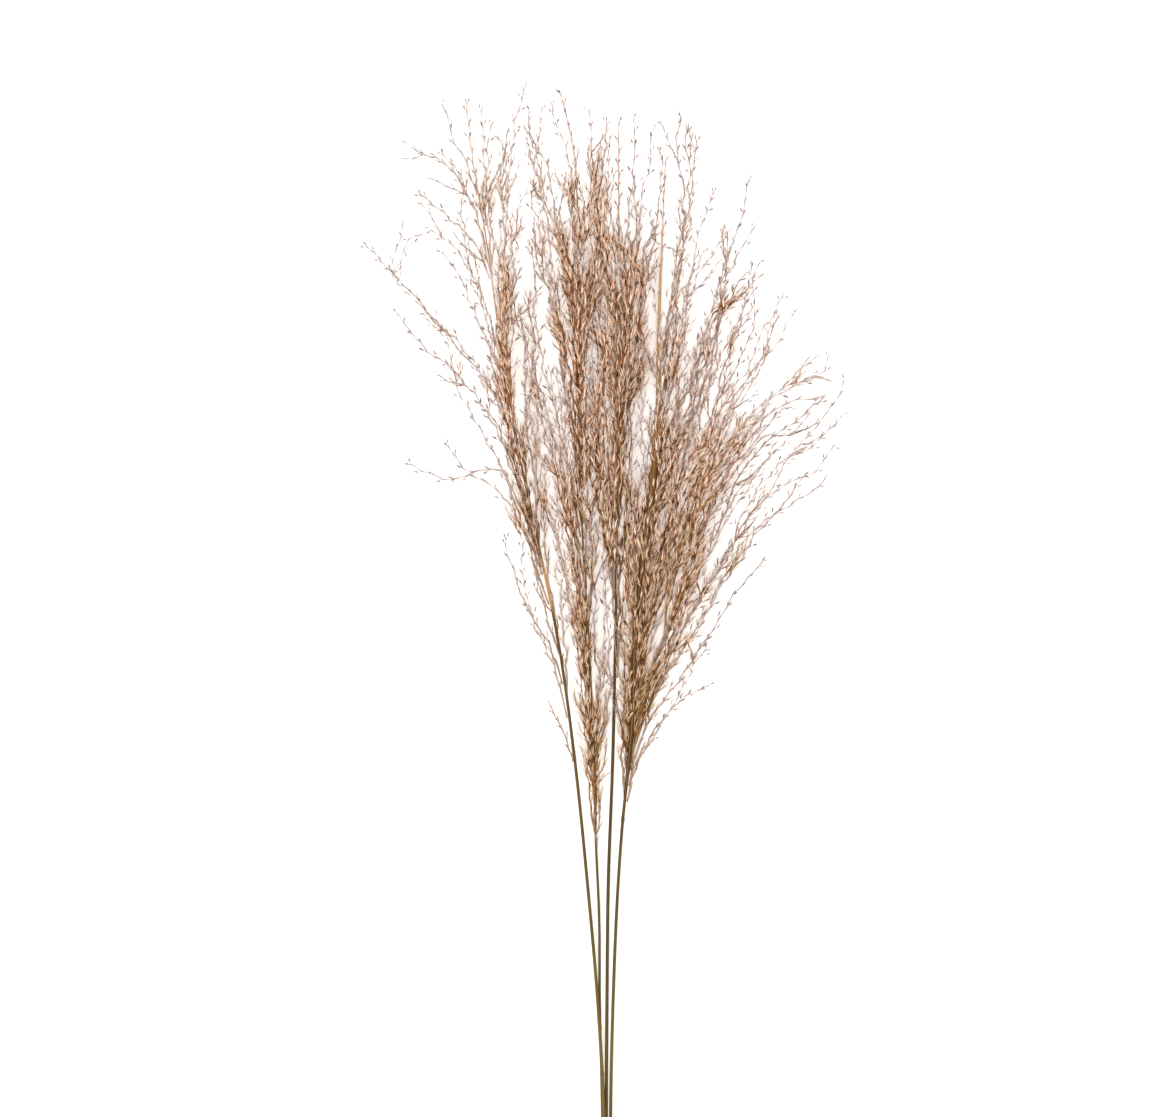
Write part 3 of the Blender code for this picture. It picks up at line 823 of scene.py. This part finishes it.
def tuft(axis, count, places, lengths, spread, lean, rise=0.0):
    """Racemes that grow close together along an axis and part evenly to both sides of it, above and below.

    Their tips may run on past the axis's own, in line with it, and rise is how far they are lifted there.
    """
    end = axis[-1, 1] - cut_ends
    ahead = units(axis[-1] - axis[-2])
    steps = np.linspace(0.0, 1.0, ROUTE_STEPS)
    first = chance.uniform()
    for index in range(count):
        share = (index + 0.5) / count
        station = np.interp(share, (0, 1), places)
        length = np.interp(share, (0, 1), lengths) * chance.uniform(*TUFT_LENGTHS)
        length = min(length, (end + OVERRUN - station) * chance.uniform(*TUFT_REACHES))
        side = 2 * ((first + GOLDEN_SHARE * index) % 1) - 1
        height = TUFT_HEIGHT * math.sqrt(1 - side**2) * (-1) ** index
        reached = station + steps * length
        route = axis_at(axis, reached) + np.maximum(reached - end, 0.0)[:, None] * ahead
        opening = TUFT_SEAT + spread * steps ** chance.uniform(*TUFT_OPENINGS)
        route[:, 0] += opening * side + lean * steps**1.4
        route[:, 2] += opening * height + rise * steps
        yield route


def turned(route, spread):
    """The route, swung sideways about its seat by a chance angle; spread is how far, in degrees."""
    swing = math.radians(chance.normal(0, spread))
    offset = route - route[0]
    swung = route.copy()
    swung[:, 0] = route[0, 0] + math.cos(swing) * offset[:, 0] - math.sin(swing) * offset[:, 1]
    swung[:, 1] = route[0, 1] + math.sin(swing) * offset[:, 0] + math.cos(swing) * offset[:, 1]
    return swung


def wandering(route, curl, ease):
    """The route with slow chance bends that grow towards its tip. Upwards they are smaller than sideways."""
    along = running_length(route)
    share = along / along[-1]
    _, right, up = frames(route)
    curling = chance.normal(0, curl) * min(along[-1] / CURLING_LENGTH, 1.0) * share**2.2
    bent = route + curling[:, None] * right
    for direction, amount in ((right, ease), (up, UPWARD_SHARE * ease)):
        waves = ((chance.uniform(*SLOW_WAVES), 1.0), (chance.uniform(*QUICK_WAVES), QUICK_WAVE_SHARE))
        for wave, size in waves:
            swing = np.sin(2 * math.pi * along / wave + chance.uniform(0, 2 * math.pi))
            bent += (amount * WANDER * size * share * swing)[:, None] * direction
        swing = np.sin(2 * math.pi * along / chance.uniform(*RIPPLES) + chance.uniform(0, 2 * math.pi))
        bent += (amount * RIPPLE * np.minimum(along / RIPPLE_START, 1.0) * swing)[:, None] * direction
    return bent


def held(route):
    """The route, bent back towards the model's box where it would leave it at the sides or the top."""
    low, high = cad_box
    inside = route.copy()
    inside[:, 0] = np.clip(route[:, 0], low.x, high.x)
    inside[:, 2] = np.minimum(route[:, 2], high.z)
    return inside + OUTSIDE * (route - inside)


def node_places(length):
    """Distances of a raceme's nodes from its base, closer together near the base."""
    places, at = [], BARE_SHARE * length * chance.uniform(0.7, 1.3)
    while at < length - LAST_NODE:
        places.append(at)
        internode = np.interp(at / length, (0, 1), (FIRST_INTERNODE, LAST_INTERNODE))
        at += internode * np.interp(length, (0.02, 0.07), (0.65, 1.0)) * chance.uniform(0.82, 1.2)
    return np.array([*places, length])


def golden_at(along, place):
    """How golden a raceme is this far along itself, and at this Y: most at its base and low in the bundle."""
    low, high = GOLDEN_PLACES
    fading = np.clip((high - place) / (high - low), LEAST_GOLDEN, 1)
    return GOLDEN_RACEME * np.clip(1 - along / GOLDEN_BASE, 0, 1) * fading


def branchlets(route, nodes, share):
    """Short side branches from this share of a raceme's nodes, leaving it sideways and curving forwards."""
    length = running_length(route)[-1]
    forward, right, up = frames(route)
    where = np.clip(np.searchsorted(running_length(route), nodes), 0, len(route) - 1)
    for at, distance in zip(where, nodes):
        if chance.uniform() > share or distance > length - BRANCHLET_END:
            continue
        reach = min(chance.uniform(*BRANCHLET_LENGTHS), 1.1 * (length - distance))
        outward = chance.choice((-1, 1)) * right[at] + chance.normal(0, 0.4) * up[at]
        angle = np.radians(chance.uniform(*BRANCHLET_ANGLES))
        angles = angle * np.linspace(1.0, chance.uniform(0.0, 0.8), BRANCHLET_STEPS)[:, None]
        steps = np.cos(angles) * forward[at] + np.sin(angles) * outward
        ways = np.concatenate([np.zeros((1, 3)), np.cumsum(steps, axis=0)])
        yield route[at] + reach / BRANCHLET_STEPS * ways


def grow_raceme(route, stout, curl, ease, grown, branching=0.0):
    """Adds a raceme's stalk to a head's axes and what its nodes carry to the head's sprigs."""
    length = running_length(route)[-1]
    count = max(int(length / RACEME_STEP), FEWEST_STEPS)
    route = held(wandering(points_along(route, np.linspace(0, length, count)), curl, ease))
    length = running_length(route)[-1]
    nodes = node_places(length)
    forward, right, up = frames(route)
    where = np.clip(np.searchsorted(running_length(route), nodes), 0, len(route) - 1)
    roll = chance.uniform(0, 2 * math.pi) + np.cumsum(chance.normal(0, ROLL, len(nodes)))
    side = np.cos(roll)[:, None] * right[where] + np.sin(roll)[:, None] * up[where]
    sign = np.where(np.arange(len(nodes)) % 2, 1.0, -1.0)[:, None]
    centres = points_along(route, nodes) + ZIGZAG * sign * side
    base = route[0]
    middles = 0.5 * (centres[:-1] + centres[1:])
    path = [base, 0.6 * base + 0.4 * centres[0]]
    knots = [0.0, 0.0]
    for index, centre in enumerate(centres):
        path.append(centre)
        knots.append(1.0)
        if index < len(middles):
            path.append(middles[index])
            knots.append(0.0)
    path.append(centres[-1] + AXIS_END * forward[-1])
    knots.append(0.0)
    path, knots = np.array(path), np.array(knots)
    share = running_length(path) / running_length(path)[-1]
    radii = stout * np.interp(share, (0, 0.3, 1), (AXIS_BASE_RADIUS, AXIS_SPRAY_RADIUS, AXIS_END_RADIUS))
    radii += np.where(knots > 0, NODE_GROWTH, 0.0)
    radii[0] = PULVINUS_RADIUS
    points, faces = strands(path[None], radii[None], AXIS_SIDES)
    # The stalk's shade value is a chance tone plus painted shade that darkens it the lower it lies in the
    # bundle.
    shade = TONE_BY_CHANCE * chance.uniform(0, 1) + (1 - TONE_BY_CHANCE) * np.clip(path[:, 2] / PAINTED_SHADE_HEIGHT, 0, 1)
    grown["axes"].add(
        points,
        faces,
        shade=ring_values(shade[None], AXIS_SIDES),
        knot=ring_values(KNOT_TINT * knots[None], AXIS_SIDES),
        golden=ring_values(golden_at(running_length(path), path[:, 1])[None], AXIS_SIDES),
    )
    for branchlet in branchlets(route, nodes[:-1], branching):
        grow_raceme(branchlet, 0.8, 0.0, 0.3, grown)
    sprigs = grown["sprigs"]
    size = np.clip(0.72 + nodes / 0.08 * 0.28, 0.72, 1.0) * np.interp(nodes / length, (0.5, 1.0), (1.0, 0.82))
    size *= np.interp(length, (0.015, 0.05), (0.7, 1.0))
    for which, way in ((0, 1), (1, -1)):
        kept = chance.uniform(0, 1, len(nodes)) < (1.0, SHORT_SHARE)[which]
        sprigs["place"].append(centres[kept])
        sprigs["forward"].append(forward[where][kept])
        sprigs["outward"].append((way * side * sign)[kept])
        sprigs["size"].append(size[kept])
        sprigs["long"].append(np.full(kept.sum(), which == 0))
        sprigs["golden"].append(golden_at(nodes, centres[:, 1])[kept])


def chosen(crowd, apart, crowded):
    """A chance value for each spikelet, from one range where it stands apart and another in a crowd."""
    low, high = (first + crowd * (second - first) for first, second in zip(apart, crowded))
    return chance.uniform(low, high)


def sprig_frames(sprigs, crowd_at):
    """Where each spikelet sits and the way it points, from the node that carries it."""
    place, forward, outward = (np.concatenate(sprigs[key]) for key in ("place", "forward", "outward"))
    size, long = np.concatenate(sprigs["size"]), np.concatenate(sprigs["long"])
    count = len(place)
    crowd = crowd_at(place)
    swing = chance.normal(0, 0.5, count)[:, None]
    across = np.cross(forward, outward)
    outward = np.cos(swing) * outward + np.sin(swing) * across
    outward[:, 2] *= FLATTENED
    outward = units(outward - forward * (outward * forward).sum(axis=1, keepdims=True))
    across = np.cross(forward, outward)
    stem = np.where(long, chosen(crowd, *LONG_STEMS), chosen(crowd, *SHORT_STEMS))
    stem_angle = np.where(long, chosen(crowd, *LONG_STEM_ANGLES), chosen(crowd, *SHORT_STEM_ANGLES))
    body_angle = np.where(long, chosen(crowd, *LONG_BODY_ANGLES), chosen(crowd, *SHORT_BODY_ANGLES))
    close = 1 - CLOSE_AT_BASE * np.concatenate(sprigs["golden"])
    stem_angle = close * np.radians(stem_angle)
    body_angle = close * np.radians(body_angle)
    stem_way = np.cos(stem_angle)[:, None] * forward + np.sin(stem_angle)[:, None] * outward
    seat = place + (stem * size)[:, None] * stem_way
    ahead = units(np.cos(body_angle)[:, None] * forward + np.sin(body_angle)[:, None] * outward)
    turn = chance.uniform(0, 2 * math.pi, count)[:, None]
    wide = units(np.cos(turn) * across + np.sin(turn) * units(np.cross(across, ahead)))
    dark = chance.uniform(0, 1, count) < DARK_SHARE
    # Pale spikelets get a chance tone plus painted shade that darkens them the lower they lie; dark ones are
    # a chance tone only. This value also tones the awns, hairs and pedicels.
    pale = 0.35 + 0.40 * chance.uniform(0, 1, count) + 0.25 * np.clip(place[:, 2] / PAINTED_SHADE_HEIGHT, 0, 1)
    shade = np.where(dark, chance.uniform(0, 0.15, count), pale)
    return {
        "place": place,
        "elbow": place + 0.55 * (stem * size)[:, None] * units(stem_way + 0.35 * outward),
        "seat": seat,
        "ahead": ahead,
        "flow": units(FLOW * forward + (1 - FLOW) * ahead),
        "wide": wide,
        "deep": np.cross(wide, ahead),
        "size": size * chance.uniform(0.82, 1.12, count),
        "girth": 1.22 - 0.42 * crowd,
        "crowd": crowd,
        "shade": shade,
        "golden": np.concatenate(sprigs["golden"]),
    }


def placed(template, spikelets):
    """Copies of a small shape, in metres, set at each spikelet: its X is wide, its Y ahead and its Z deep."""
    girth = spikelets["girth"][:, None, None]
    turned = (
        girth * template[:, 0, None] * spikelets["wide"][:, None]
        + template[:, 1, None] * spikelets["ahead"][:, None]
        + girth * template[:, 2, None] * spikelets["deep"][:, None]
    )
    return spikelets["seat"][:, None] + spikelets["size"][:, None, None] * turned


def glume_template(side):
    """One glume, a slender keeled boat that opens a little to its side: points, faces and place along."""
    places = np.array([0.0, 0.32, 0.72])
    widths = GLUME_WIDTH / 2 * np.array([0.34, 1.05, 0.68])
    depths = GLUME_THICKNESS * np.array([0.5, 1.0, 0.8])
    opening = side * np.array(GLUME_OPENINGS)
    rings = []
    for place, width, depth, open_ in zip(places, widths, depths, opening):
        ahead = GLUME_LENGTH * place
        rings += [
            (-width, ahead, open_ - 0.2 * side * depth),
            (0.0, ahead, open_ + side * depth),
            (width, ahead, open_ - 0.2 * side * depth),
            (0.0, ahead, open_ - 0.1 * side * depth),
        ]
    tip = (0.0, GLUME_LENGTH, side * GLUME_TIP_OPENING)
    points = np.array([*rings, tip])
    along = np.append(np.repeat(places, 4), 1.0)
    faces = strand_faces(len(places), 4)
    if side > 0:
        faces = [corners[:, ::-1] for corners in faces]
    return points, faces, along


def make_spikelets(spikelets, axes):
    """The glumes, and the awns with the hairs, of all spikelets of a head. Their pedicels join the axes."""
    count = len(spikelets["seat"])
    shade, golden = spikelets["shade"][:, None], spikelets["golden"][:, None]
    glumes, awns = Shape(), Shape()
    for side in (-1, 1):
        points, faces, along = glume_template(side)
        glumes.add(placed(points, spikelets), faces, along=along[None], shade=shade, golden=golden)

    seat, ahead, wide, deep = (spikelets[key] for key in ("seat", "ahead", "wide", "deep"))
    size, crowd = spikelets["size"][:, None], spikelets["crowd"]
    swing = chance.uniform(0, 2 * math.pi, count)[:, None]
    bend = np.cos(swing) * wide + np.sin(swing) * deep
    start = seat + AWN_SEAT * GLUME_LENGTH * size * ahead
    reach = AWN_LENGTH * chosen(crowd, *AWN_SHARES)[:, None]
    knee = start + AWN_KNEE * reach * units(ahead + 0.12 * bend)
    end = knee + (1 - AWN_KNEE) * reach * units(ahead + 0.55 * bend)
    paths = np.stack([start, knee, end], axis=1)
    radii = np.interp(crowd, (0, 1), AWN_RADII)[:, None] * (1.0, 0.75, 0.0)
    points, faces = strands(paths, radii, 3)
    awns.add(points, faces, shade=0.5 * shade, golden=golden)
    girth = np.interp(crowd**2, (0, 1), HAIR_RADIUS) * (1 - 0.8 * spikelets["golden"])
    hair_length = np.interp(crowd, (0, 1), HAIR_LENGTH)
    for _ in range(HAIRS):
        swing = chance.uniform(0, 2 * math.pi, count)[:, None]
        lean = np.cos(swing) * wide + np.sin(swing) * deep
        lean[:, 2] -= HAIR_DROP
        reach = (hair_length * chance.uniform(0.6, 1.2, count))[:, None]
        lean *= chance.uniform(0.05, 0.30, count)[:, None]
        middle = seat + 0.5 * reach * units(spikelets["flow"] + 0.5 * lean)
        end = middle + 0.5 * reach * units(spikelets["flow"] + 1.5 * lean)
        paths = np.stack([seat, middle, end], axis=1)
        points, faces = strands(paths, girth[:, None] * (0.8, 1.0, 0.0), 3)
        awns.add(points, faces, shade=0.6 + 0.4 * shade, golden=golden)

    paths = np.stack([spikelets["place"], spikelets["elbow"], seat + PEDICEL_END * ahead], axis=1)
    radii = np.tile([PEDICEL_RADIUS * 1.3, PEDICEL_RADIUS, 0.0], (count, 1))
    points, faces = strands(paths, radii, 3)
    axes.add(points, faces, shade=0.7 * shade, knot=np.zeros((count, 1)), golden=golden)
    return glumes, awns


def start_chance(seed):
    """Starts the chance values again from a seed, so that a change in one head leaves the others alone."""
    chance.bit_generator.state = np.random.default_rng(seed).bit_generator.state


def raceme_nodes(name):
    return [f"raceme_{name}_{number:02d}" for number in range(1, HEADS[name]["racemes"] + 1)]


def grow_head(name, axis):
    """The stalks of all the racemes of a head, and the sprigs that their nodes carry."""
    head = HEADS[name]
    start_chance(head["seed"])
    own = [centre_line(node, RACEME_NODE_SIDES) for node in raceme_nodes(name)]
    grown = {"axes": Shape(), "sprigs": {key: [] for key in SPRIG_VALUES}}
    for number, route in enumerate(own, 1):
        grow_raceme(route, head["stout"].get(number, 1.0), 0.0, 0.7, grown, head["branching"])
    for first, second, count in zip(own, own[1:], head["between"]):
        for step in range(count):
            share = (step + chance.uniform(0.5, 1.5)) / (count + 1)
            route = turned(between(first, second, share), head["swing"])
            grow_raceme(route, 1.0, CURL, 1.0, grown, head["branching"])
    lines = dict(zip(raceme_nodes(name), own), **{f"culm_{name}": axis})
    for carrier, *plan in head["tufts"]:
        for route in tuft(lines[carrier], *plan):
            grow_raceme(route, 1.0, 0.4 * CURL, 1.0, grown, head["branching"])
    end = points_along(axis, running_length(axis)[-1] - np.linspace(HEAD_END, 0, HEAD_END_STEPS))
    grow_raceme(end, 1.0, 0.0, 0.0, grown)
    return grown


def make_head(name, grown, crowd_at, materials):
    spikelets = sprig_frames(grown["sprigs"], crowd_at)
    axes = grown["axes"]
    glumes, awns = make_spikelets(spikelets, axes)
    axes.to_piece(f"raceme_axes_{name}", materials["axis"], "raceme_straw", raceme_nodes(name), crowd_at)
    glumes.to_piece(f"glumes_{name}", materials["glume"], "raceme_straw", [], crowd_at)
    awns.to_piece(f"awns_{name}", materials["awn"], "raceme_straw", [], crowd_at)


# The studio


def make_floor():
    mesh = bpy.data.meshes.new("floor")
    half = FLOOR_HALF
    corners = [(-half, -half, 0), (half, -half, 0), (half, half, 0), (-half, half, 0)]
    mesh.from_pydata(corners, [], [(0, 1, 2, 3)])
    mesh.materials.append(floor_material())
    floor = bpy.data.objects.new("floor", mesh)
    bpy.context.scene.collection.objects.link(floor)


def make_light():
    world = bpy.data.worlds.new("studio")
    world.use_nodes = True
    background = world.node_tree.nodes["Background"]
    background.inputs["Color"].default_value = (1.0, 0.96, 0.92, 1.0)
    background.inputs["Strength"].default_value = 0.46
    bpy.context.scene.world = world
    for name, turn, angle, strength in SUNS:
        light = bpy.data.lights.new(f"sun_{name}", "SUN")
        light.energy = strength
        light.angle = math.radians(angle)
        sun = bpy.data.objects.new(f"sun_{name}", light)
        sun.rotation_euler = (0.0, math.radians(turn), 0.0)
        bpy.context.scene.collection.objects.link(sun)


def make_camera():
    data = bpy.data.cameras.new("camera")
    data.sensor_width = SENSOR
    data.lens = SENSOR * VIEW_HEIGHT / VIEW_WIDTH
    camera = bpy.data.objects.new("camera", data)
    camera.location = (*VIEW_CENTRE, VIEW_HEIGHT)
    bpy.context.scene.collection.objects.link(camera)
    bpy.context.scene.camera = camera


def main():
    bpy.context.scene.view_settings.view_transform = "Standard"
    make_camera()
    make_light()
    make_floor()
    materials = {"glume": glume_material(), "awn": awn_material(), "axis": raceme_axis_material()}
    straw = culm_material()
    axes = {name: centre_line(f"culm_{name}", CULM_NODE_SIDES) for name in HEADS}
    grown = {name: grow_head(name, axis) for name, axis in axes.items()}
    seats = [place for head in grown.values() for place in head["sprigs"]["place"]]
    crowd_at = crowding(np.concatenate(seats))
    for name, axis in axes.items():
        make_culm(name, HEADS[name], axis, straw)
        make_head(name, grown[name], crowd_at, materials)
    make_leaf(leaf_material())


main()
